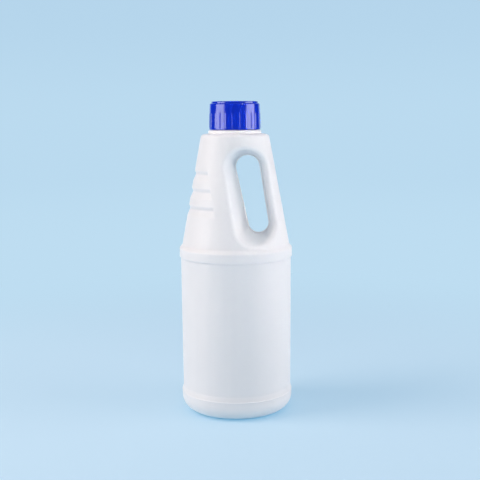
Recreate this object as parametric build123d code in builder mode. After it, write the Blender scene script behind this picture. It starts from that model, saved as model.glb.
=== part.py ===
"""Blow-moulded one-litre bottle with a handle through its cone and a ribbed screw cap.

Millimetres and degrees.  +Z is up, the origin is the middle of the base, the handle is on +X
and the mould's two halves part on the XZ plane.
"""

import os
from math import cos, radians, tan

from build123d import *

# Shell
WALL = 0.9

# Base and foot
BASE_ROUNDING = 12.0
STANDING_RING_WIDTH = 3.4
STANDING_RING_ROUNDING = 1.5
BASE_RECESS_DEPTH = 4.0
BASE_RECESS_SLOPE = 8.0
BASE_RECESS_ROUNDING = 4.0
WELD_LENGTH = 44.0
WELD_WIDTH = 1.2
WELD_HEIGHT = 0.6
FOOT_SETBACK = 0.6
FOOT_HEIGHT = 16.2
FOOT_EDGE_ROUNDING = 0.8
FOOT_TAPER_HEIGHT = 4.3

# Label panel and shoulder ring, radii set back from the ring
RING_RADIUS = 46.0
RING_HEIGHT = 6.9
RING_STEP_HEIGHT = 1.2
RING_EDGE_ROUNDING = 0.5
RING_SHOULDER_HEIGHT = 2.8
RING_SHOULDER_ROUNDING = 2.0
PANEL_HEIGHT = 106.2
PANEL_TOP_SETBACK = 0.95
PANEL_FOOT_SETBACK = 1.5
PANEL_FOOT_ROUNDING = 4.0

# Cone and shoulder
CONE_FOOT_SETBACK = 2.29
CONE_HEIGHT = 88.6
SHOULDER_WIDTH = 6.1
SHOULDER_RISE = 1.1
SHOULDER_ROUNDING = 3.0

# Finger hole and handle
HOLE_TOP_DROP = 26.0
HOLE_TOP_RADIUS = 9.5
HOLE_FOOT_HEIGHT = 17.6
HOLE_FOOT_RADIUS = 8.1
HOLE_EDGE_ROUNDING = 0.4
HANDLE_TOP_DEPTH = 12.4
HANDLE_FOOT_DEPTH = 13.6
WEB_MARGIN = 1.2
POCKET_DRAFT = 9.0
POCKET_RIM_ROUNDING = 3.0
POCKET_FLOOR_ROUNDING = 0.7

# Finger grooves on the side away from the handle, heights measured from the foot of the cone
GROOVE_COUNT = 3
GROOVE_FOOT_HEIGHT = 30.0
GROOVE_PITCH = 13.8
GROOVE_DEPTH = 1.5
GROOVE_UPPER_FLANK = 2.6
GROOVE_LOWER_FLANK = 5.5
GROOVE_ROOT_ROUNDING = 1.2
GROOVE_RIM_ROUNDING = 1.0
GROOVE_END_OFFSET = 8.6

# Neck
NECK_RADIUS = 17.7
NECK_WALL = 1.8
NECK_HEIGHT = 20.1
NECK_MOUTH_ROUNDING = 0.5
COLLAR_HEIGHT = 2.5
COLLAR_OVERHANG = 0.4
COLLAR_ROUNDING = 0.6

# Cap and liner
THREAD_DEPTH = 1.0
THREAD_CLEARANCE = 0.4
CAP_WALL = 1.25
CAP_DRAFT = 0.2
CAP_ROOF_THICKNESS = 1.6
CAP_EDGE_ROUNDING = 2.4
CAP_FOOT_ROUNDING = 0.4
CAP_COLLAR_GAP = 0.4
RIB_COUNT = 24
RIB_PROJECTION = 0.55
RIB_WIDTH = 1.1
RIB_LENGTH = 12.0
RIB_FOOT_BAND = 1.3
LINER_THICKNESS = 1.2
LINER_CLEARANCE = 0.3
LINER_BEAD_GRIP = 0.3
LINER_BEAD_HEIGHT = 1.2
LINER_BEAD_GAP = 0.1

# Levels, from the base up
panel_foot = FOOT_HEIGHT + FOOT_TAPER_HEIGHT
panel_top = panel_foot + PANEL_HEIGHT
ring_foot = panel_top + RING_STEP_HEIGHT
ring_top = ring_foot + RING_HEIGHT
cone_foot = ring_top + RING_SHOULDER_HEIGHT
cone_top = cone_foot + CONE_HEIGHT
collar_foot = cone_top + SHOULDER_RISE
collar_top = collar_foot + COLLAR_HEIGHT
neck_top = collar_top + NECK_HEIGHT
cap_foot = collar_top + CAP_COLLAR_GAP
cap_roof = neck_top + LINER_THICKNESS
cap_top = cap_roof + CAP_ROOF_THICKNESS
bead_top = neck_top - LINER_BEAD_GAP

# Radii of the base and the body
foot_radius = RING_RADIUS - FOOT_SETBACK
standing_radius = foot_radius - BASE_ROUNDING - STANDING_RING_WIDTH
recess_radius = standing_radius - BASE_RECESS_SLOPE

# Radii from the neck out
bore_radius = NECK_RADIUS - NECK_WALL
cap_inner_radius = NECK_RADIUS + THREAD_DEPTH + THREAD_CLEARANCE
liner_radius = cap_inner_radius - LINER_CLEARANCE
bead_radius = liner_radius - LINER_BEAD_GRIP
cap_radius = cap_inner_radius + CAP_WALL
rib_radius = cap_radius + RIB_PROJECTION
collar_radius = rib_radius + COLLAR_OVERHANG
cone_top_radius = collar_radius + SHOULDER_WIDTH
cone_foot_radius = RING_RADIUS - CONE_FOOT_SETBACK
cone_slope = (cone_foot_radius - cone_top_radius) / CONE_HEIGHT

# The web round the finger hole is the walls of both mould halves pinched together
web_thickness = 2 * WALL


def cone_point(height):
    """Point of the cone's side in the section plane, at a height above the cone's foot."""
    return Vector(cone_foot_radius - cone_slope * height, cone_foot + height)


def turned(corners, inset=0):
    """Solid turned about Z from (radius, height, rounding) corners, drawn back by an inset."""
    points = [(radius, height) for radius, height, rounding in corners]
    roundings = [rounding for radius, height, rounding in corners[1:-1]]
    with BuildPart() as solid:
        with BuildSketch(Plane.XZ):
            with BuildLine():
                outline = FilletPolyline(*points, radius=roundings)
                Line(outline @ 1, outline @ 0)
            make_face()
            if inset:
                mirror(about=Plane.YZ)
                offset(amount=-inset)
                split(bisect_by=Plane.YZ)
        revolve(axis=Axis.Z)
    return solid.part


def lower_body(inset):
    """Base, foot, label panel and shoulder ring."""
    return turned(
        [
            (0, BASE_RECESS_DEPTH, 0),
            (recess_radius, BASE_RECESS_DEPTH, BASE_RECESS_ROUNDING),
            (standing_radius, 0, STANDING_RING_ROUNDING),
            (foot_radius, 0, BASE_ROUNDING),
            (foot_radius, FOOT_HEIGHT, FOOT_EDGE_ROUNDING),
            (RING_RADIUS - PANEL_FOOT_SETBACK, panel_foot, PANEL_FOOT_ROUNDING),
            (RING_RADIUS - PANEL_TOP_SETBACK, panel_top, RING_EDGE_ROUNDING),
            (RING_RADIUS, ring_foot, RING_EDGE_ROUNDING),
            (RING_RADIUS, ring_top, RING_SHOULDER_ROUNDING),
            (cone_foot_radius, cone_foot, 0),
            (0, cone_foot, 0),
        ],
        inset,
    )


def cone_body(inset):
    """Cone and shoulder, started inside the ring so that the pocket's rim runs out behind it."""
    start = cone_point((ring_foot + ring_top) / 2 - cone_foot)
    return turned(
        [
            (0, start.Y, 0),
            (start.X, start.Y, 0),
            (cone_top_radius, cone_top, SHOULDER_ROUNDING),
            (collar_radius, collar_foot, 0),
            (0, collar_foot, 0),
        ],
        inset,
    )


def finger_slot(plane, margin):
    """Slot that leans with the cone's side, a handle's depth behind it, grown by a margin."""
    with BuildSketch(plane) as slot:
        for height, radius, depth in (
            (CONE_HEIGHT - HOLE_TOP_DROP, HOLE_TOP_RADIUS, HANDLE_TOP_DEPTH),
            (HOLE_FOOT_HEIGHT, HOLE_FOOT_RADIUS, HANDLE_FOOT_DEPTH),
        ):
            with Locations(cone_point(height) - Vector(depth + radius, 0)):
                Circle(radius + margin)
        make_hull()
    return slot.sketch


def finger_pocket(inset):
    """Drafted pockets of the two mould halves, which meet at the web, grown by the inset."""
    start = 0 if inset else web_thickness / 2
    draft_shift = (web_thickness / 2 - start) * tan(radians(POCKET_DRAFT))
    margin = WEB_MARGIN + inset / cos(radians(POCKET_DRAFT)) - draft_shift
    floor = finger_slot(Plane.XZ.offset(start), margin)
    with BuildPart() as pocket:
        extrude(floor, amount=RING_RADIUS, taper=-POCKET_DRAFT)
        mirror(about=Plane.XZ)
    return pocket.part


def finger_grooves(inset):
    """Grooves round the back of the cone, ended by a plane that leans with it, grown by the inset."""
    with BuildPart() as grooves:
        for step in range(GROOVE_COUNT):
            height = GROOVE_FOOT_HEIGHT + step * GROOVE_PITCH
            root = cone_point(height) - Vector(GROOVE_DEPTH, 0)
            upper = root + (cone_point(height + GROOVE_UPPER_FLANK) - root) * 2
            lower = root + (cone_point(height - GROOVE_LOWER_FLANK) - root) * 2
            with BuildSketch(Plane.XZ):
                with BuildLine():
                    FilletPolyline(lower, root, upper, radius=GROOVE_ROOT_ROUNDING)
                    Line(upper, lower)
                make_face()
                if inset:
                    offset(amount=inset)
            revolve(axis=Axis.Z)
        ends = Plane((inset - GROOVE_END_OFFSET, 0, cone_foot), z_dir=(-1, 0, -cone_slope))
        split(bisect_by=ends, keep=Keep.TOP)
    return grooves.part


def rim_edges(part, behind):
    """Edges where pockets, or the grooves behind the axis, break through the cone's side."""
    cones = part.faces().filter_by(GeomType.CONE)
    side = cones.sort_by(lambda face: len(face.inner_wires()))[-1]
    middles = [(wire.center(CenterOf.BOUNDING_BOX).X, wire) for wire in side.inner_wires()]
    return ShapeList(edge for x, wire in middles if (x < 0) == behind for edge in wire.edges())


def blown_form(inset):
    """The bottle below its neck: its outer form, or its cavity one wall further in."""
    body = lower_body(inset)
    cone = cone_body(inset)
    pocket = finger_pocket(inset)
    grooves = finger_grooves(inset)
    with BuildPart() as form:
        add(cone)
        add(pocket, mode=Mode.SUBTRACT)
        fillet(rim_edges(form, behind=False), POCKET_RIM_ROUNDING - inset)
        add(body)
        add(grooves, mode=Mode.SUBTRACT)
        if not inset:
            arcs = rim_edges(form, behind=True).filter_by(GeomType.CIRCLE)
            fillet(arcs, GROOVE_RIM_ROUNDING)
            fillet(form.faces().filter_by(Axis.Y).edges(), POCKET_FLOOR_ROUNDING)
    return form.part


# Bottle: shell, neck, finger hole and the weld across the base
outer_form = blown_form(0)
cavity = blown_form(WALL)
finger_hole = finger_slot(Plane.XZ, 0)
neck = turned(
    [
        (0, collar_foot - WALL, 0),
        (collar_radius, collar_foot - WALL, 0),
        (collar_radius, collar_top, COLLAR_ROUNDING),
        (NECK_RADIUS, collar_top, COLLAR_ROUNDING),
        (NECK_RADIUS, neck_top, NECK_MOUTH_ROUNDING),
        (0, neck_top, 0),
    ]
)
with BuildPart() as bottle:
    add(outer_form)
    add(cavity, mode=Mode.SUBTRACT)
    add(neck)
    with Locations((0, 0, neck_top)):
        Hole(bore_radius, depth=neck_top - collar_foot + 2 * WALL)
    mouth = bottle.edges().filter_by(GeomType.CIRCLE).group_by(Axis.Z)[-1]
    fillet(mouth.sort_by(SortBy.RADIUS)[0], NECK_MOUTH_ROUNDING)
    extrude(finger_hole, amount=web_thickness, both=True, mode=Mode.SUBTRACT)
    fillet(bottle.edges(Select.LAST).filter_by(Plane.XZ), HOLE_EDGE_ROUNDING)
    with BuildSketch(Plane.XY.offset(BASE_RECESS_DEPTH - WELD_HEIGHT)):
        Rectangle(WELD_LENGTH, WELD_WIDTH)
    extrude(amount=WELD_HEIGHT + WALL / 2)
bottle.part.label = "bottle"

# Cap: drafted cup with ribs outside and a bead that holds the liner
cap_shell = turned(
    [
        (0, cap_top, 0),
        (cap_radius, cap_top, CAP_EDGE_ROUNDING),
        (cap_radius + CAP_DRAFT, cap_foot, CAP_FOOT_ROUNDING),
        (cap_inner_radius, cap_foot, 0),
        (cap_inner_radius, bead_top - LINER_BEAD_HEIGHT, 0),
        (bead_radius, bead_top - LINER_BEAD_HEIGHT / 2, 0),
        (cap_inner_radius, bead_top, 0),
        (cap_inner_radius, cap_roof, 0),
        (0, cap_roof, 0),
    ]
)
with BuildPart() as cap:
    add(cap_shell)
    with BuildSketch(Plane.XY.offset(cap_foot + RIB_FOOT_BAND)):
        with PolarLocations(rib_radius - RIB_WIDTH / 2, RIB_COUNT):
            Circle(RIB_WIDTH / 2)
    extrude(amount=RIB_LENGTH)
cap.part.label = "cap"

# Liner: foam disc between the neck's rim and the cap's roof
with BuildPart() as cap_liner:
    with BuildSketch(Plane.XY.offset(neck_top)):
        Circle(liner_radius)
    extrude(amount=LINER_THICKNESS)
cap_liner.part.label = "cap_liner"

os.makedirs("parts", exist_ok=True)
export_step(bottle.part, "parts/bottle.step")
export_step(cap.part, "parts/cap.step")
export_step(cap_liner.part, "parts/cap_liner.step")
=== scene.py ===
# %% [markdown]
# # Blow-moulded bottle with a screw cap
# The CAD frame holds three nodes: the hollow bottle with its moulded handle, the ribbed cap, and
# the foam liner under the cap's roof. The bottle and the liner keep their CAD shape and get their
# real surfaces here. The cap is turned again with softer ribs, and both halves of the screw thread
# are added, together with the fine lines that the parts of the mould leave on the bottle.

# %% Load the frame
import math

import bpy
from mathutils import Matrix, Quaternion, Vector
from mathutils.bvhtree import BVHTree


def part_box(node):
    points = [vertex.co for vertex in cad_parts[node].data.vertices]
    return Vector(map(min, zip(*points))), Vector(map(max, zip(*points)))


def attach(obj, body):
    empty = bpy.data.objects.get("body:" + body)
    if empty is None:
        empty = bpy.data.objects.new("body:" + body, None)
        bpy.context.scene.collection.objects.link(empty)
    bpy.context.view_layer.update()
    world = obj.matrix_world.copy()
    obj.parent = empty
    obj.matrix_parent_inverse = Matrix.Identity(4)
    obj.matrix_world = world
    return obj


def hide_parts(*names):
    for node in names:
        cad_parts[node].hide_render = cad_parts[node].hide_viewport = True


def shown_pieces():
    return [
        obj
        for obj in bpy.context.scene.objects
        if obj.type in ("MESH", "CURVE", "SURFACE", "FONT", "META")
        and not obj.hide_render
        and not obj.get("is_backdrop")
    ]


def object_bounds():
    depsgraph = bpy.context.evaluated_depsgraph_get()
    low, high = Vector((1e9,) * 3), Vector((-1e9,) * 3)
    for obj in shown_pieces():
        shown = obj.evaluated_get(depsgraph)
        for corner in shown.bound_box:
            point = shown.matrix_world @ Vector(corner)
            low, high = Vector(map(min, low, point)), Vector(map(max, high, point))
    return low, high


MM = 0.001
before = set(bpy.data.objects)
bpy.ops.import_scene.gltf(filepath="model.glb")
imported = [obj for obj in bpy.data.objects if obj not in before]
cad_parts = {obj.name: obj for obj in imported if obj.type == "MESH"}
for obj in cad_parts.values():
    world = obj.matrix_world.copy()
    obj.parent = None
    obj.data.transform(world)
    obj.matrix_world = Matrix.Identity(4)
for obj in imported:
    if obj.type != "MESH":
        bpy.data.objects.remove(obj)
cad_low, cad_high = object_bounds()
cad_sides = [round(side / MM, 1) for side in cad_high - cad_low]
print("nodes:", sorted(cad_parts), "box mm:", cad_sides)

# %% [markdown]
# ## Nodes as sums
# Materials and Geometry Nodes are both graphs. Wiring each Math node by hand hides the formula, so
# a socket is wrapped in a small class whose operators add the Math node themselves.


# %% Sockets that can be added and multiplied
class Value:
    """An output socket that takes part in sums: each operator adds one Math node to its tree."""

    def __init__(self, graph, socket):
        self.graph = graph
        self.socket = socket

    def of(self, name):
        """Another output of the same node."""
        return Value(self.graph, self.socket.node.outputs[name])

    def __add__(self, other):
        return self.graph.math("ADD", self, other)

    def __sub__(self, other):
        return self.graph.math("SUBTRACT", self, other)

    def __rsub__(self, other):
        return self.graph.math("SUBTRACT", other, self)

    def __mul__(self, other):
        return self.graph.math("MULTIPLY", self, other)

    def __truediv__(self, other):
        return self.graph.math("DIVIDE", self, other)

    def __rtruediv__(self, other):
        return self.graph.math("DIVIDE", other, self)

    def __gt__(self, other):
        return self.graph.math("GREATER_THAN", self, other)

    def __abs__(self):
        return self.graph.math("ABSOLUTE", self)

    __radd__ = __add__
    __rmul__ = __mul__


print("operators:", [name for name in vars(Value) if name.startswith("__") and name != "__init__"])

# %% [markdown]
# Any other node comes from one method of the graph. It sets the node up first, because a setting
# can change which sockets are there, and then fills the sockets with numbers or links. A few short
# methods beside it stand for the nodes that come back in every material.


# %% A graph that makes its nodes
class Graph:
    """A node tree, with one method that makes any node."""

    def __init__(self, tree):
        self.tree = tree
        tree.nodes.clear()

    def node(self, kind, inputs=None, **settings):
        """Adds a node, sets it up, fills its sockets by name or number, gives its first output."""
        made = self.tree.nodes.new(kind)
        for name, setting in settings.items():
            setattr(made, name, setting)
        for key, given in (inputs or {}).items():
            by_name = [s for s in made.inputs if s.enabled and s.name == key]
            socket = by_name[0] if by_name else made.inputs[key]
            if isinstance(given, Value):
                self.tree.links.new(given.socket, socket)
            else:
                socket.default_value = given
        outputs = [s for s in made.outputs if s.enabled]
        return Value(self, outputs[0] if outputs else None)

    def math(self, operation, *values):
        """One Math node."""
        return self.node("ShaderNodeMath", dict(enumerate(values)), operation=operation)

    def ramp(self, value, low, high):
        """0 below low, 1 above high, and a smooth rise between them."""
        return self.node(
            "ShaderNodeMapRange",
            {"Value": value, "From Min": low, "From Max": high},
            interpolation_type="SMOOTHSTEP",
        )

    def mix(self, share, first, second):
        """Colour that goes from the first to the second as the share goes from 0 to 1."""
        inputs = {"Factor": share, "A": first, "B": second}
        return self.node("ShaderNodeMix", inputs, data_type="RGBA")

    def noise(self, place, scale, detail, distortion=0.0):
        """Soft random waves, finer with a larger scale."""
        return self.node(
            "ShaderNodeTexNoise",
            {"Vector": place, "Scale": scale, "Detail": detail, "Distortion": distortion},
        )

    def bump(self, height, strength, depth):
        """A normal that tilts as if the surface rose and fell with the height."""
        inputs = {"Height": height, "Strength": strength, "Distance": depth}
        return self.node("ShaderNodeBump", inputs)

    def surface(self, shader):
        """Ends a material in a shader."""
        self.node("ShaderNodeOutputMaterial", {"Surface": shader})


def material(name):
    """A new material and its graph, with its surface still to be linked."""
    made = bpy.data.materials.new(name)
    made.use_nodes = True
    return made, Graph(made.node_tree)


print("graph methods:", [name for name in vars(Graph) if not name.startswith("__")])

# %% [markdown]
# ## The bottle's plastic
# Natural-white polyethylene from a blow mould is satin rather than glossy: the mould is
# sand-blasted so that air can escape, and the skin copies that fine grain. The parison, the hot
# tube that was blown, also leaves faint upright streaks. Both are noise on Object coordinates, so
# they stay put when the bottle is moved. The wall is thin and milky, so light also travels through
# it and brightens the depth of the handle's pocket: that is what subsurface scattering is for. A
# thread or a mould line is a separate mesh that is sunk in the wall, where such light would be
# lost, so these get the same plastic without scattering.

# %% Satin white polyethylene
WHITE_LIGHT = (0.955, 0.955, 0.96, 1)
WHITE_DARK = (0.93, 0.935, 0.945, 1)
NOISE_LOW = 0.35
NOISE_HIGH = 0.65
CLOUD_SCALE = 22.0
CLOUD_SHARE = 0.6
STREAK_SCALES = (160, 160, 6)
STREAK_ROUGHNESS = 0.06
GRAIN_SCALE = 2600.0
GRAIN_SHARE = 0.7
GRAIN_ROUGHNESS = 0.08
GRAIN_STRENGTH = 0.10
GRAIN_DEPTH = 0.2 * MM
SATIN_ROUGHNESS = 0.36
POLYETHYLENE_IOR = 1.52
MILKY_SHARE = 0.8
MILKY_DEPTH = 3.0 * MM


def satin_polyethylene(name, milky_share):
    """The bottle's plastic, with the share of the light that goes into the wall."""
    made, graph = material(name)
    place = graph.node("ShaderNodeTexCoord").of("Object")
    streak_place = graph.node("ShaderNodeMapping", {"Vector": place, "Scale": STREAK_SCALES})
    streaks = graph.noise(streak_place, scale=1.0, detail=2.0)
    clouds = graph.noise(place, CLOUD_SCALE, detail=3.0)
    grain = graph.noise(place, GRAIN_SCALE, detail=2.0)
    shade = clouds * CLOUD_SHARE + streaks * (1 - CLOUD_SHARE)
    relief = grain * GRAIN_SHARE + streaks * (1 - GRAIN_SHARE)
    roughness = SATIN_ROUGHNESS + streaks * STREAK_ROUGHNESS + grain * GRAIN_ROUGHNESS
    skin = graph.node(
        "ShaderNodeBsdfPrincipled",
        {
            "Base Color": graph.mix(
                graph.ramp(shade, NOISE_LOW, NOISE_HIGH), WHITE_DARK, WHITE_LIGHT
            ),
            "Roughness": roughness,
            "Normal": graph.bump(relief, GRAIN_STRENGTH, GRAIN_DEPTH),
            "IOR": POLYETHYLENE_IOR,
            "Subsurface Weight": milky_share,
            "Subsurface Radius": (1, 1, 1),
            "Subsurface Scale": MILKY_DEPTH,
        },
    )
    graph.surface(skin)
    return made


bottle_plastic = satin_polyethylene("satin_polyethylene", MILKY_SHARE)
ridge_plastic = satin_polyethylene("satin_polyethylene_ridge", 0.0)
print("bottle plastic:", len(bottle_plastic.node_tree.nodes), "nodes")

# %% [markdown]
# ## The cap's plastic
# The cap is injection-moulded polypropylene from a polished mould: a deep, even blue with a clear
# gloss. Real mouldings aren't optically flat, so a slow wave bends the reflections a little, and
# handling leaves a fine haze that roughens the gloss in patches.

# %% Glossy blue polypropylene
CAP_BLUE = (0.0026, 0.030, 0.57, 1)
CAP_BLUE_DEEP = (0.0022, 0.025, 0.51, 1)
CAP_GLOSS = 1.0
CAP_GLOSS_TINT = (0.80, 0.95, 1.0, 1)
CAP_ROUGHNESS = 0.13
SWIRL_SCALE = 60.0
SWIRL_DISTORTION = 0.6
SWIRL_STRENGTH = 0.10
SWIRL_DEPTH = 0.3 * MM
HAZE_SCALE = 420.0
HAZE_LOW = 0.40
HAZE_HIGH = 0.75
HAZE_ROUGHNESS = 0.08
POLYPROPYLENE_IOR = 1.55


def gloss_polypropylene():
    """The cap's plastic."""
    made, graph = material("gloss_polypropylene")
    place = graph.node("ShaderNodeTexCoord").of("Object")
    swirl = graph.noise(place, SWIRL_SCALE, detail=3.0, distortion=SWIRL_DISTORTION)
    haze = graph.ramp(graph.noise(place, HAZE_SCALE, detail=4.0), HAZE_LOW, HAZE_HIGH)
    shade = graph.ramp(swirl, NOISE_LOW, NOISE_HIGH)
    skin = graph.node(
        "ShaderNodeBsdfPrincipled",
        {
            "Base Color": graph.mix(shade, CAP_BLUE_DEEP, CAP_BLUE),
            "Roughness": CAP_ROUGHNESS + haze * HAZE_ROUGHNESS,
            "Normal": graph.bump(swirl, SWIRL_STRENGTH, SWIRL_DEPTH),
            "IOR": POLYPROPYLENE_IOR,
            "Specular IOR Level": CAP_GLOSS,
            "Specular Tint": CAP_GLOSS_TINT,
        },
    )
    graph.surface(skin)
    return made


cap_plastic = gloss_polypropylene()
print("cap plastic:", len(cap_plastic.node_tree.nodes), "nodes")

# %% [markdown]
# ## The liner's foam
# The liner is a disc cut from closed-cell foam sheet. It shows only when the cap is off: tiny
# cells, and a darker ring where the neck's rim has pressed into it. The ring is a difference of two
# ramps on the distance from the axis.

# %% Closed-cell foam
FOAM_LIGHT = (0.82, 0.82, 0.80, 1)
FOAM_PRESSED = (0.62, 0.63, 0.63, 1)
FOAM_ROUGHNESS = 0.6
FOAM_STRENGTH = 0.35
FOAM_DEPTH = 0.3 * MM
CELL_SCALE = 1800.0
CELL_HEIGHT = 0.4
CELL_ROUGHNESS = 0.3
RIM_INNER = 15.9 * MM
RIM_OUTER = 17.7 * MM
PRESSED_BLEND = 0.5 * MM
PRESSED_SHADE = 0.8


def closed_cell_foam():
    """The liner's foam."""
    made, graph = material("closed_cell_foam")
    place = graph.node("ShaderNodeTexCoord").of("Object")
    cells = graph.node("ShaderNodeTexVoronoi", {"Vector": place, "Scale": CELL_SCALE})
    flat = graph.node("ShaderNodeVectorMath", {0: place, 1: (1, 1, 0)}, operation="MULTIPLY")
    radius = graph.node("ShaderNodeVectorMath", {0: flat}, operation="LENGTH").of("Value")
    past_inner = graph.ramp(radius, RIM_INNER - PRESSED_BLEND, RIM_INNER)
    past_outer = graph.ramp(radius, RIM_OUTER, RIM_OUTER + PRESSED_BLEND)
    pressed = past_inner - past_outer
    relief = cells * CELL_HEIGHT + (1 - pressed)
    foam = graph.node(
        "ShaderNodeBsdfPrincipled",
        {
            "Base Color": graph.mix(pressed * PRESSED_SHADE, FOAM_LIGHT, FOAM_PRESSED),
            "Roughness": FOAM_ROUGHNESS + cells * CELL_ROUGHNESS,
            "Normal": graph.bump(relief, FOAM_STRENGTH, FOAM_DEPTH),
        },
    )
    graph.surface(foam)
    return made


def dress(node, finish):
    """Gives a CAD node that keeps its shape its finish."""
    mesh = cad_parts[node].data
    mesh.materials.clear()
    mesh.materials.append(finish)


dress("cap_liner", closed_cell_foam())
dress("bottle", bottle_plastic)
print("dressed: bottle, cap_liner")

# %% [markdown]
# ## Baking a Geometry Nodes tree
# The thread, the cap and the mould's lines follow rules, so trees make them. A tree gets named
# inputs for its sizes. The modifier's inputs are set by identifier before Blender evaluates the
# object, and the result is kept as a plain mesh.


# %% From tree to mesh
def new_tree(name, inputs):
    """A Geometry Nodes tree with a geometry input, the named inputs and a geometry output."""
    tree = bpy.data.node_groups.new(name, "GeometryNodeTree")
    tree.interface.new_socket("Geometry", in_out="INPUT", socket_type="NodeSocketGeometry")
    for label, kind in inputs.items():
        tree.interface.new_socket(label, in_out="INPUT", socket_type="NodeSocket" + kind)
    tree.interface.new_socket("Geometry", in_out="OUTPUT", socket_type="NodeSocketGeometry")
    graph = Graph(tree)
    return tree, graph, graph.node("NodeGroupInput")


def end_tree(graph, geometry, finish):
    """Closes a tree: realised, smooth, with its material."""
    real = graph.node("GeometryNodeRealizeInstances", {"Geometry": geometry})
    smooth = graph.node("GeometryNodeSetShadeSmooth", {"Geometry": real})
    done = graph.node("GeometryNodeSetMaterial", {"Geometry": smooth, "Material": finish})
    graph.node("NodeGroupOutput", {"Geometry": done})


def bake(name, tree, points, values, crease, ring=False):
    """Runs a tree on a line or ring of points and keeps a piece with creases above an angle."""
    line = bpy.data.meshes.new(name + "_line")
    edges = [(i, i + 1) for i in range(len(points) - 1)]
    if ring:
        edges.append((len(points) - 1, 0))
    line.from_pydata(points, edges, [])
    carrier = bpy.data.objects.new(name + "_carrier", line)
    bpy.context.scene.collection.objects.link(carrier)
    modifier = carrier.modifiers.new("tree", "NODES")
    modifier.node_group = tree
    for item in tree.interface.items_tree:
        if item.in_out == "INPUT" and item.name in values:
            modifier[item.identifier] = values[item.name]
    evaluated = carrier.evaluated_get(bpy.context.evaluated_depsgraph_get())
    mesh = bpy.data.meshes.new_from_object(evaluated)
    bpy.data.objects.remove(carrier)
    mesh.name = name
    mesh.set_sharp_from_angle(angle=math.radians(crease))
    piece = bpy.data.objects.new(name, mesh)
    bpy.context.scene.collection.objects.link(piece)
    print(name, "faces:", len(mesh.polygons))
    return piece


print("baking helpers ready")

# %% [markdown]
# Both the thread and the cap are a flat grid that is bent round the axis. Each vertex knows its
# share of the way along the grid and the number of its row. From these a tree works out a radius,
# an angle and a height, and vertices that meet at a seam are merged.

# %% A grid bent round the axis
SEAM_MERGE = 0.002 * MM


def flat_grid(graph, columns, rows):
    """A grid, with each vertex's share along it from 0 to 1 and the number of its row."""
    grid = graph.node(
        "GeometryNodeMeshGrid",
        {"Size X": 1.0, "Size Y": 1.0, "Vertices X": columns, "Vertices Y": rows},
    )
    place = graph.node("ShaderNodeSeparateXYZ", {0: graph.node("GeometryNodeInputPosition")})
    along = place.of("X") + 0.5
    row = graph.math("ROUND", (place.of("Y") + 0.5) * (rows - 1))
    return grid, along, row


def bend_round(graph, grid, radius, angle, height):
    """Moves the vertices of a grid to their place round the axis and closes the seams."""
    place = graph.node(
        "ShaderNodeCombineXYZ",
        {
            "X": radius * graph.math("COSINE", angle),
            "Y": radius * graph.math("SINE", angle),
            "Z": height,
        },
    )
    bent = graph.node("GeometryNodeSetPosition", {"Geometry": grid, "Position": place})
    return graph.node("GeometryNodeMergeByDistance", {"Geometry": bent, "Distance": SEAM_MERGE})


print("seams merge within mm:", SEAM_MERGE / MM)

# %% [markdown]
# ## Screw thread
# Neck and cap each carry a ridge on a right-hand helix. A ridge could be swept along a curve, but
# its section then turns with the curve, so a grid is bent instead: one way along the helix, the
# other way round the section. The first rows lie on the ridge's back and the last three close its
# underside in the wall. The ridge swells out of the wall at its start and sinks back at its end. A
# negative height makes the inner thread of the cap, whose faces then have to be turned over.

# %% Helical ridge tree
BACK_ROWS = 12
SECTION_ROWS = BACK_ROWS + 4
THREAD_STEPS_PER_TURN = 72
RIDGE_SIZES = (
    "Root Radius",
    "Height",
    "Root Width",
    "Crest Width",
    "Lead",
    "Turns",
    "Run-out Turns",
    "Foot",
    "Start Angle",
    "Embed",
)


def helical_ridge():
    """The tree of a thread."""
    inputs = dict.fromkeys(RIDGE_SIZES, "Float") | {"Material": "Material"}
    tree, graph, sizes = new_tree("helical ridge", inputs)
    turns = sizes.of("Turns")
    columns = turns * THREAD_STEPS_PER_TURN + 1
    grid, along, row = flat_grid(graph, columns, SECTION_ROWS)
    turn = along * turns
    under = (row > BACK_ROWS + 0.5) * (1 - (row > BACK_ROWS + 2.5))
    going_back = row > BACK_ROWS + 1.5
    side = graph.math("MINIMUM", row / BACK_ROWS, 1.0) * (1 - going_back) - 0.5
    root_width = sizes.of("Root Width")
    flank_width = (root_width - sizes.of("Crest Width")) * 0.5
    flank = graph.ramp((root_width * 0.5 - abs(side * root_width)) / flank_width, 0.0, 1.0)
    to_end = graph.math("MINIMUM", turn, turns - turn)
    swell = graph.ramp(to_end / sizes.of("Run-out Turns"), 0.0, 1.0)
    lift = sizes.of("Height") * flank * (1 - under) - sizes.of("Embed") * under
    radius = sizes.of("Root Radius") + lift * swell
    angle = turn * math.tau + sizes.of("Start Angle")
    height = sizes.of("Foot") + turn * sizes.of("Lead") + side * root_width * swell
    ridge = bend_round(graph, grid, radius, angle, height)
    limits = {"A": sizes.of("Height"), "B": 0.0}
    inward = graph.node("FunctionNodeCompare", limits, operation="LESS_THAN")
    ridge = graph.node("GeometryNodeFlipFaces", {"Mesh": ridge, "Selection": inward})
    end_tree(graph, ridge, sizes.of("Material"))
    return tree


ridge_tree = helical_ridge()
print("thread tree:", len(ridge_tree.nodes), "nodes")

# %% [markdown]
# The two ridges share their lead, so the cap's ridge stays below the neck's at every turn and
# closing the cap pulls it down onto its liner. Their roots start a little inside the walls, because
# a CAD cylinder is a polygon and a ridge that only touched it would show gaps. The tree makes its
# own grid, so the carrier is a single point.

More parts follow.
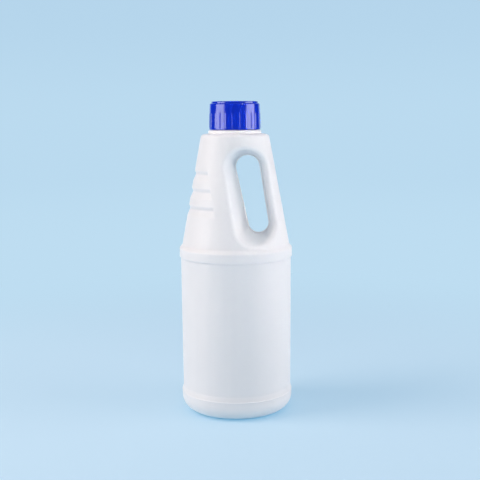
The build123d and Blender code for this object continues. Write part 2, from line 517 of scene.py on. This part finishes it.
# %% Neck thread and cap thread
NECK_RADIUS = 17.7 * MM
CAP_INNER_RADIUS = 19.1 * MM
THREAD_LEAD = 4.2 * MM
THREAD_HEIGHT = 1.0 * MM
THREAD_EMBED = 0.35 * MM
THREAD_ROOT_SUNK = 0.08 * MM
THREAD_TURNS = 1.75
THREAD_START = math.radians(100)
THREAD_CREASE = 40
NECK_THREAD_FOOT = 239.9 * MM
CAP_THREAD_DROP = 1.4 * MM
thread_sizes = {
    "Root Width": 2.0 * MM,
    "Crest Width": 0.8 * MM,
    "Lead": THREAD_LEAD,
    "Turns": THREAD_TURNS,
    "Run-out Turns": 0.12,
    "Start Angle": THREAD_START,
}
neck_sizes = thread_sizes | {
    "Root Radius": NECK_RADIUS - THREAD_ROOT_SUNK,
    "Height": THREAD_HEIGHT + THREAD_ROOT_SUNK,
    "Embed": THREAD_EMBED,
    "Foot": NECK_THREAD_FOOT,
    "Material": ridge_plastic,
}
cap_sizes = thread_sizes | {
    "Root Radius": CAP_INNER_RADIUS + THREAD_ROOT_SUNK,
    "Height": -THREAD_HEIGHT - THREAD_ROOT_SUNK,
    "Embed": -THREAD_EMBED,
    "Foot": NECK_THREAD_FOOT - CAP_THREAD_DROP,
    "Material": cap_plastic,
}
neck_thread = bake("neck_thread", ridge_tree, [(0, 0, 0)], neck_sizes, THREAD_CREASE)
cap_thread = bake("cap_thread", ridge_tree, [(0, 0, 0)], cap_sizes, THREAD_CREASE)

# %% [markdown]
# ## Ribbed cap
# A cap is a turned cup with ribs that follow a rule, so one tree makes all of it: it spins a line
# of profile points round the axis and lifts the side wherever a rib passes. A rib is a low wave, so
# that its flanks stay gentle. Most columns are crowded onto the ribs, and few are left for the
# plain wall between. Each profile point carries how far a rib stands there, so the ribs can have
# rounded ends.

# %% Ribbed lathe tree
COLUMNS_PER_RIB = 20
RIB_COLUMN_SHARE = 0.7


def ribbed_lathe():
    """The tree of a cap."""
    tree, graph, sizes = new_tree(
        "ribbed lathe",
        {
            "Ribs": "Int",
            "Rib Height": "Float",
            "Rib Half Width": "Float",
            "Wall Radius": "Float",
            "Material": "Material",
        },
    )
    profile = sizes.of("Geometry")
    ribs = sizes.of("Ribs")
    rows = graph.node("GeometryNodeAttributeDomainSize", {"Geometry": profile}, component="MESH")
    grid, along, row = flat_grid(graph, ribs * COLUMNS_PER_RIB + 1, rows)
    position = graph.node("GeometryNodeInputPosition")
    point = graph.node(
        "GeometryNodeSampleIndex",
        {"Geometry": profile, "Value": position, "Index": row},
        data_type="FLOAT_VECTOR",
    )
    point = graph.node("ShaderNodeSeparateXYZ", {0: point})
    pitches = along * ribs
    cell = graph.math("FLOOR", pitches + 0.5)
    off_middle = pitches - cell
    spread = abs(off_middle) * 2
    on_rib = graph.math("MINIMUM", spread / RIB_COLUMN_SHARE, 1.0)
    on_wall = graph.math("MAXIMUM", spread - RIB_COLUMN_SHARE, 0.0) / (1 - RIB_COLUMN_SHARE)
    rib_angle = sizes.of("Rib Half Width") / sizes.of("Wall Radius")
    half_pitch = math.pi / ribs
    turned = on_rib * rib_angle + on_wall * (half_pitch - rib_angle)
    angle = cell * 2 * half_pitch + graph.math("SIGN", off_middle) * turned
    wave = graph.math("COSINE", on_rib * math.pi) * 0.5 + 0.5
    radius = point.of("X") + wave * sizes.of("Rib Height") * point.of("Y")
    cup = bend_round(graph, grid, radius, angle, point.of("Z"))
    end_tree(graph, cup, sizes.of("Material"))
    return tree


lathe_tree = ribbed_lathe()
print("cap tree:", len(lathe_tree.nodes), "nodes")

# %% [markdown]
# The outside of the cap leans in a little towards the top, as every moulding does that has to leave
# its mould, and the ribs end in quarter rounds. Two small functions say so for any height.

# %% Cap wall and ribs
cap_low, cap_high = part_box("cap")
CAP_TOP = cap_high.z
CAP_FOOT = cap_low.z
CAP_RADIUS = 20.1 * MM
CAP_DRAFT = 0.5 * MM
RIB_COUNT = 24
RIB_HEIGHT = 0.20 * MM
RIB_HALF_WIDTH = 0.80 * MM
RIB_END_ROUNDING = 0.9 * MM
RIB_FOOT = CAP_FOOT + 1.3 * MM
RIB_HEAD = RIB_FOOT + 12.0 * MM


def wall_radius(height):
    """Radius of the drafted outside at a height."""
    return CAP_RADIUS + CAP_DRAFT * (CAP_TOP - height) / (CAP_TOP - CAP_FOOT)


def rib_share(height):
    """How far a rib stands out at a height, from 0 to 1, with a quarter-round end."""
    inside = min(height - RIB_FOOT, RIB_HEAD - height) / RIB_END_ROUNDING
    if inside <= 0:
        return 0.0
    return math.sqrt(1 - (1 - min(inside, 1.0)) ** 2)


print("cap radius mm at foot and top:", wall_radius(CAP_FOOT) / MM, wall_radius(CAP_TOP) / MM)

# %% [markdown]
# The profile runs from the inside of the roof down the inner wall, with the bead that holds the
# liner, round the foot, up the outside and over a small step to the middle, where the gate of the
# mould leaves a small dimple. A profile point is (radius, share of the rib, height).

# %% Cap profile
CAP_ROOF = 251.1 * MM
CAP_EDGE_ROUNDING = 1.1 * MM
CAP_STEP_HEIGHT = 1.5 * MM
CAP_STEP_RADIUS = 18.7 * MM
CAP_STEP_ROUNDING = 0.6 * MM
CAP_FOOT_ROUNDING = 0.4 * MM
CAP_MOUTH_DEPTH = 0.5 * MM
CAP_MOUTH_FLARE = 0.3 * MM
BEAD_TOP = 249.8 * MM
BEAD_HEIGHT = 1.2 * MM
BEAD_GRIP = 0.6 * MM
GATE_RADIUS = 1.3 * MM
GATE_DEPTH = 0.25 * MM
RIB_END_STEPS = 6
WALL_ABOVE_RIBS = 2.5 * MM


def quarter(centre, radius, start, stop, steps):
    """Points (radius, height) of an arc in the profile's plane, between two angles in degrees."""
    angles = [math.radians(start + (stop - start) * i / steps) for i in range(steps + 1)]
    return [(centre[0] + radius * math.cos(a), centre[1] + radius * math.sin(a)) for a in angles]


def cap_inside():
    """The inside, from the middle of the roof to the mouth."""
    return [
        (0, CAP_ROOF),
        (CAP_INNER_RADIUS * 0.6, CAP_ROOF),
        (CAP_INNER_RADIUS, CAP_ROOF),
        (CAP_INNER_RADIUS, BEAD_TOP),
        (CAP_INNER_RADIUS - BEAD_GRIP, BEAD_TOP - BEAD_HEIGHT / 2),
        (CAP_INNER_RADIUS, BEAD_TOP - BEAD_HEIGHT),
        (CAP_INNER_RADIUS, CAP_FOOT + CAP_MOUTH_DEPTH),
        (CAP_INNER_RADIUS + CAP_MOUTH_FLARE, CAP_FOOT),
    ]


def cap_side():
    """The foot and the outside, with points crowded where a rib ends."""
    foot_centre = (wall_radius(CAP_FOOT) - CAP_FOOT_ROUNDING, CAP_FOOT + CAP_FOOT_ROUNDING)
    foot = quarter(foot_centre, CAP_FOOT_ROUNDING, -90, 0, 5)
    ends = [RIB_END_ROUNDING * (i / RIB_END_STEPS) ** 2 for i in range(RIB_END_STEPS + 1)]
    heights = [RIB_FOOT + end for end in ends]
    heights += [RIB_FOOT + (RIB_HEAD - RIB_FOOT) * share for share in (0.25, 0.5, 0.75)]
    heights += [RIB_HEAD - end for end in reversed(ends)]
    heights += [RIB_HEAD + WALL_ABOVE_RIBS]
    return foot + [(wall_radius(height), height) for height in heights]


def cap_head():
    """The rounded edge, the step and the top with its gate."""
    ledge = CAP_TOP - CAP_STEP_HEIGHT
    edge_centre = (CAP_RADIUS - CAP_EDGE_ROUNDING, ledge - CAP_EDGE_ROUNDING)
    step_centre = (CAP_STEP_RADIUS - CAP_STEP_ROUNDING, CAP_TOP - CAP_STEP_ROUNDING)
    edge = quarter(edge_centre, CAP_EDGE_ROUNDING, 0, 90, 8)
    step = [(CAP_STEP_RADIUS, ledge)] + quarter(step_centre, CAP_STEP_ROUNDING, 0, 90, 6)
    return edge + step + [
        (CAP_RADIUS * 0.5, CAP_TOP),
        (GATE_RADIUS + GATE_DEPTH, CAP_TOP),
        (GATE_RADIUS, CAP_TOP - GATE_DEPTH),
        (0, CAP_TOP - GATE_DEPTH),
    ]


cap_profile = [(radius, 0.0, height) for radius, height in cap_inside()]
cap_profile += [(radius, rib_share(height), height) for radius, height in cap_side() + cap_head()]
print("cap profile:", len(cap_profile), "points")

# %% [markdown]
# Baked, the new cap has its ribs in one closed mesh. Edges sharper than the crease angle stay
# sharp, and all others are shaded smooth.

# %% Cap
CAP_CREASE = 32
rib_values = {
    "Ribs": RIB_COUNT,
    "Rib Height": RIB_HEIGHT,
    "Rib Half Width": RIB_HALF_WIDTH,
    "Wall Radius": CAP_RADIUS,
    "Material": cap_plastic,
}
cap_skin = bake("cap_skin", lathe_tree, cap_profile, rib_values, CAP_CREASE)

# %% [markdown]
# ## The mould's parting line
# A blow mould closes in two halves. Where they meet, on the plane through the handle, the bottle
# has a fine raised line. It is a thin bead that a tree sweeps along a path on the bottle's skin,
# sunk so that only its back shows.

# %% Swept bead tree
BEAD_SIDES = 10


def swept_bead():
    """The tree of a bead along a line."""
    tree, graph, sizes = new_tree("swept bead", {"Radius": "Float", "Material": "Material"})
    path = graph.node("GeometryNodeMeshToCurve", {"Mesh": sizes.of("Geometry")})
    section = graph.node(
        "GeometryNodeCurvePrimitiveCircle",
        {"Resolution": BEAD_SIDES, "Radius": sizes.of("Radius")},
    )
    bead = graph.node(
        "GeometryNodeCurveToMesh",
        {"Curve": path, "Profile Curve": section, "Fill Caps": True},
    )
    end_tree(graph, bead, sizes.of("Material"))
    return tree


bead_tree = swept_bead()
print("bead tree:", len(bead_tree.nodes), "nodes")

# %% [markdown]
# Rays shot at the CAD surface from outside find the path. The shoulder ring is the widest place of
# the CAD model, so the line is held inside it there.

# %% Parting lines
LINE_RADIUS = 0.30 * MM
LINE_SUNK = 0.20 * MM
LINE_STEP = 0.6 * MM
LINE_FOOT = 3.0 * MM
LINE_TOP = 227.0 * MM
LINE_CREASE = 60
RAY_START = 2 * cad_high.x
bottle_skin = BVHTree.FromObject(
    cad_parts["bottle"], bpy.context.evaluated_depsgraph_get()
)


def under_skin(start, direction):
    """Place just under the bottle's skin, where a ray meets it."""
    hit, normal, _, _ = bottle_skin.ray_cast(start, direction)
    return hit - normal * LINE_SUNK


def parting_path(side):
    """Points up one side of the parting plane."""
    limit = cad_high.x - LINE_RADIUS
    points = []
    for step in range(int((LINE_TOP - LINE_FOOT) / LINE_STEP) + 1):
        start = Vector((side * RAY_START, 0, LINE_FOOT + step * LINE_STEP))
        sunk = under_skin(start, Vector((-side, 0, 0)))
        points.append((side * min(abs(sunk.x), limit), 0, sunk.z))
    return points


line_values = {"Radius": LINE_RADIUS, "Material": ridge_plastic}
line_handle_side = bake(
    "parting_line_handle", bead_tree, parting_path(1), line_values, LINE_CREASE
)
line_grip_side = bake("parting_line_grip", bead_tree, parting_path(-1), line_values, LINE_CREASE)

# %% [markdown]
# ## The line round the foot
# The mould's base is a third part. Where it meets the two halves, a fine line runs round the top of
# the foot, and in the photograph it catches the light. The same bead follows a closed ring of
# points.

# %% Foot line
FOOT_LINE_HEIGHT = 16.1 * MM
FOOT_LINE_RADIUS = 0.42 * MM
FOOT_LINE_POINTS = 240


def foot_path():
    """Points once round the top of the foot."""
    points = []
    for step in range(FOOT_LINE_POINTS):
        turn = math.tau * step / FOOT_LINE_POINTS
        outward = Vector((math.cos(turn), math.sin(turn), 0))
        start = outward * RAY_START + Vector((0, 0, FOOT_LINE_HEIGHT))
        points.append(under_skin(start, -outward))
    return points


foot_values = {"Radius": FOOT_LINE_RADIUS, "Material": ridge_plastic}
line_foot = bake(
    "mould_line_foot", bead_tree, foot_path(), foot_values, LINE_CREASE, ring=True
)

# %% [markdown]
# ## Who moves with what
# The thread on the neck and the mould's lines belong to the bottle. The new cap and its thread move
# with the cap's body, and the new cap stands for the CAD node.

# %% Ride and replace
for piece in (neck_thread, line_handle_side, line_grip_side, line_foot):
    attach(piece, "bottle_body")
for piece in (cap_skin, cap_thread):
    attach(piece, "cap_body")
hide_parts("cap")

# %% [markdown]
# ## Studio
# The photograph has a plain pale-blue ground with no horizon. The world shows that colour to the
# camera and in reflections, and lights the bottle softly, most of all from above. A Mix Shader
# picks between the two by the kind of ray.

# %% World
GROUND_HIGH = (0.465, 0.668, 0.838, 1)
GROUND_MIDDLE = (0.497, 0.704, 0.866, 1)
GROUND_RISE = 0.12
AMBIENT_LOW = (0.25, 0.25, 0.27, 1)
AMBIENT_HIGH = (0.765, 0.795, 0.875, 1)


def shown_rays(graph):
    """1 for rays from the camera and in reflections, 0 for the rays that carry soft light."""
    path = graph.node("ShaderNodeLightPath")
    shown = graph.math("MAXIMUM", path.of("Is Camera Ray"), path.of("Is Glossy Ray"))
    return graph.math("MAXIMUM", shown, path.of("Is Transmission Ray"))


def studio_world():
    """The ground's colour far off, and the soft light."""
    world = bpy.data.worlds.new("studio")
    bpy.context.scene.world = world
    world.use_nodes = True
    graph = Graph(world.node_tree)
    direction = graph.node("ShaderNodeSeparateXYZ", {0: graph.node("ShaderNodeTexCoord")})
    up = direction.of("Z")
    colour = graph.mix(graph.ramp(up, 0.0, GROUND_RISE), GROUND_MIDDLE, GROUND_HIGH)
    soft_light = graph.mix(up, AMBIENT_LOW, AMBIENT_HIGH)
    ambient = graph.node("ShaderNodeBackground", {"Color": soft_light, "Strength": 1.0})
    ground = graph.node("ShaderNodeBackground", {"Color": colour, "Strength": 1.0})
    mixed = graph.node("ShaderNodeMixShader", {0: shown_rays(graph), 1: ambient, 2: ground})
    graph.node("ShaderNodeOutputWorld", {"Surface": mixed})
    return world


print("world:", studio_world().name)

# %% [markdown]
# The floor is pale blue paper with a little glow, so that the shadow on it turns blue and not grey.
# Away from the bottle it turns into the ground's colour, so that no horizon shows.

# %% Floor
GROUND_LOW = (0.515, 0.724, 0.882, 1)
GROUND_FADE_START = 0.8
GROUND_FADE_END = 3.0
FLOOR_COLOUR = (0.51, 0.60, 0.645, 1)
FLOOR_GLOW = (0.04, 0.16, 0.26, 1)
FLOOR_FADE_START = 0.16
FLOOR_FADE_END = 0.65
FLOOR_REACH = 30.0


def floor_paper():
    """Paper that turns into the ground's colour with the distance from the bottle."""
    made, graph = material("pale_floor")
    place = graph.node("ShaderNodeTexCoord").of("Object")
    distance = graph.node("ShaderNodeVectorMath", {0: place}, operation="LENGTH").of("Value")
    far = graph.ramp(distance, FLOOR_FADE_START, FLOOR_FADE_END) * shown_rays(graph)
    paper = graph.node("ShaderNodeBsdfDiffuse", {"Color": FLOOR_COLOUR})
    glow = graph.node("ShaderNodeEmission", {"Color": FLOOR_GLOW})
    lit = graph.node("ShaderNodeAddShader", {0: paper, 1: glow})
    farther = graph.ramp(distance, GROUND_FADE_START, GROUND_FADE_END)
    ground_colour = graph.mix(farther, GROUND_LOW, GROUND_MIDDLE)
    ground = graph.node("ShaderNodeEmission", {"Color": ground_colour})
    graph.surface(graph.node("ShaderNodeMixShader", {0: far, 1: lit, 2: ground}))
    return made


def stage_piece(name, points, faces, finish):
    """A mesh of the studio, which is no piece of the bottle."""
    mesh = bpy.data.meshes.new(name)
    mesh.from_pydata(points, [], faces)
    mesh.materials.append(finish)
    made = bpy.data.objects.new(name, mesh)
    bpy.context.scene.collection.objects.link(made)
    made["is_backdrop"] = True
    return made


floor_signs = ((-1, -1), (1, -1), (1, 1), (-1, 1))
floor_corners = [(x * FLOOR_REACH, y * FLOOR_REACH, 0) for x, y in floor_signs]
floor = stage_piece("floor", floor_corners, [(0, 1, 2, 3)], floor_paper())
print("floor m:", [round(side, 1) for side in floor.dimensions])

# %% [markdown]
# The cap mirrors two tall soft boxes, one on each side of the camera. The stripes on the cap give
# their place: a stripe at an angle round the cap mirrors what stands at twice that angle. A warm
# key box high on the left lays the soft shadow to the right. A fill box in front on the right, and
# a small one with a narrow beam, reach into the finger pocket. Light linking keeps these two off
# the floor, so that they add no second shadow.

# %% Soft boxes
VIEW_AZIMUTH = math.radians(5.0)
BOX_DISTANCE = 1.2
BOX_WIDTH = 0.97
BOX_LIGHT = {"radiance": 3.75, "colour": (1.0, 0.85, 0.79)}
KEY_LIGHT = {"radiance": 4.6, "colour": (1.0, 0.82, 0.70)}
FILL_LIGHT = {"radiance": 1.8, "colour": (1.0, 0.99, 0.98)}
POCKET_LIGHT = {"radiance": 0.22, "colour": (1.0, 0.99, 0.98), "spread": 8}


def around(angle, distance, height):
    """Point round the bottle, at an angle from the camera's direction."""
    turn = VIEW_AZIMUTH + angle
    return Vector((distance * math.sin(turn), -distance * math.cos(turn), height))


def soft_box(name, angle, height, aim_height, size, radiance, colour, spread=180):
    """A lamp round the bottle that looks at a height on its axis. Its angles are in degrees."""
    width, length = size
    light = bpy.data.lights.new(name, "AREA")
    light.shape = "RECTANGLE"
    light.size = width
    light.size_y = length
    light.color = colour
    light.spread = math.radians(spread)
    light.energy = radiance * math.pi * width * length
    lamp = bpy.data.objects.new(name, light)
    lamp.location = around(math.radians(angle), BOX_DISTANCE, height)
    aim = Vector((0, 0, aim_height)) - lamp.location
    lamp.rotation_mode = "QUATERNION"
    lamp.rotation_quaternion = aim.to_track_quat("-Z", "Y")
    lamp.visible_camera = False
    bpy.context.scene.collection.objects.link(lamp)
    return lamp


def keep_off_floor(lamp):
    """Lets a lamp light the bottle alone, as a flag does in a studio."""
    lit = bpy.data.collections.new(lamp.name + "_lights")
    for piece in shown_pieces():
        lit.objects.link(piece)
    lamp.light_linking.receiver_collection = lit


soft_box("left_box", -71, height=0.32, aim_height=0.32, size=(BOX_WIDTH, 0.58), **BOX_LIGHT)
soft_box("right_box", 77, height=0.36, aim_height=0.36, size=(BOX_WIDTH, 0.66), **BOX_LIGHT)
soft_box("key_box", -80, height=1.32, aim_height=0.12, size=(0.8, 0.7), **KEY_LIGHT)
fill_box = soft_box("fill_box", 43, height=0.9, aim_height=0.17, size=(0.5, 0.5), **FILL_LIGHT)
pocket_box = soft_box(
    "pocket_box", 40, height=0.85, aim_height=0.172, size=(0.2, 0.2), **POCKET_LIGHT
)
for lamp in (fill_box, pocket_box):
    keep_off_floor(lamp)
print("lamps:", [light.name for light in bpy.data.lights])

# %% [markdown]
# Between the boxes the cap mirrors a dark room. It is a bent card that stands behind the boxes,
# closes overhead, and leaves the side behind the bottle open to the pale ground. Only reflections
# see it: it is hidden from the camera, from soft light and from shadows.

# %% Dark card
CARD_BLACK = (0.02, 0.02, 0.02, 1)
CARD_DISTANCE = 1.6
CARD_HALF_ANGLE = math.radians(140)
CARD_HEIGHTS = (0.02, 0.8, 1.4, 1.7)
CARD_REACHES = (1.0, 1.0, 0.7, 0.1)
CARD_STEPS = 28


def dark_card():
    """The dark room that the cap mirrors."""
    made, graph = material("dark_card")
    graph.surface(graph.node("ShaderNodeBsdfDiffuse", {"Color": CARD_BLACK}))
    angles = [CARD_HALF_ANGLE * (2 * i / CARD_STEPS - 1) for i in range(CARD_STEPS + 1)]
    rings = [(CARD_DISTANCE * reach, height) for reach, height in zip(CARD_REACHES, CARD_HEIGHTS)]
    points = [around(angle, reach, height) for angle in angles for reach, height in rings]
    rows = len(rings)
    starts = [i * rows + j for i in range(CARD_STEPS) for j in range(rows - 1)]
    faces = [(a, a + 1, a + rows + 1, a + rows) for a in starts]
    card = stage_piece("dark_card", points, faces, made)
    card.visible_camera = False
    card.visible_diffuse = False
    card.visible_shadow = False
    return card


print("dark card faces:", len(dark_card().data.polygons))

# %% [markdown]
# ## Camera
# The pitch and the distance come from how round the cap's foot, the shoulder ring and the base
# look. The camera stands about as high as the cap, a little round towards the handle, and leans by
# a fraction of a degree.

# %% Camera
SENSOR = 36.0
FRAME_PIXELS = 480
FOCAL_PIXELS = 900
NEAR_CLIP = 0.01
VIEW_DISTANCE = 0.7318
VIEW_HEIGHT = 0.2402
VIEW_PITCH = math.radians(7.78)
VIEW_YAW = math.radians(-0.27)
VIEW_ROLL = math.radians(-0.45)


def photograph_camera():
    """The camera of the photograph."""
    lens = bpy.data.cameras.new("camera")
    lens.sensor_width = SENSOR
    lens.lens = FOCAL_PIXELS / FRAME_PIXELS * SENSOR
    lens.clip_start = NEAR_CLIP
    camera = bpy.data.objects.new("camera", lens)
    camera.location = around(0, VIEW_DISTANCE, VIEW_HEIGHT)
    heading = VIEW_AZIMUTH + VIEW_YAW
    ahead = Vector((-math.sin(heading), math.cos(heading), -math.tan(VIEW_PITCH)))
    lean = Quaternion((0, 0, 1), VIEW_ROLL)
    camera.rotation_mode = "QUATERNION"
    camera.rotation_quaternion = ahead.to_track_quat("-Z", "Y") @ lean
    bpy.context.scene.collection.objects.link(camera)
    return camera


bpy.context.scene.camera = photograph_camera()
bpy.context.scene.view_settings.view_transform = "Standard"
print("camera lens mm:", bpy.context.scene.camera.data.lens)

# %% [markdown]
